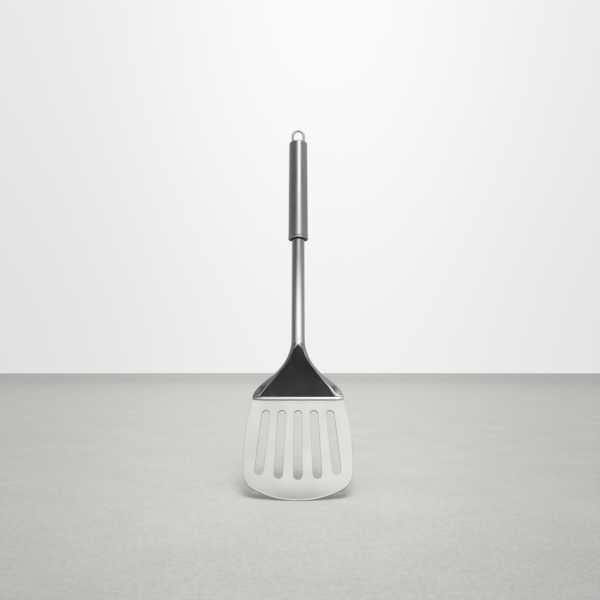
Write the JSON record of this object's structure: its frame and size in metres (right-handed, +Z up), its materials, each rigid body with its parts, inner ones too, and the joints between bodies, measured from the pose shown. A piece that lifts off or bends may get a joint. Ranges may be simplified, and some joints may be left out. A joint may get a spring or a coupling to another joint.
{
  "type": "slotted spatula",
  "caption": "Stainless steel slotted spatula with a round tubular handle, a wire hanging loop and a broad leaning blade with fanned slots.",
  "frame": {"origin": "hook point: underside of the crown of the hanging loop", "axes": "+Z up along the handle, +X across the blade, -Y towards the side that carries the food"},
  "size_m": [0.0914, 0.0572, 0.3389],
  "materials": {
    "satin_steel": "satin brushed",
    "polished_steel": "mirror polished stainless steel",
    "blade_steel": "fine satin",
    "plain_steel": "as rolled",
    "black_nylon": "matte"
  },
  "bodies": {
    "root": {"hanging_loop": "polished_steel", "loop_anchor_plate": "plain_steel", "handle_end_cap": "satin_steel", "handle_tube": "satin_steel", "handle_ferrule": "satin_steel", "mouth_bush": "black_nylon", "inner_bush": "black_nylon", "neck_and_shoulder": "polished_steel", "slotted_blade": "blade_steel"}
  },
  "joints": []
}
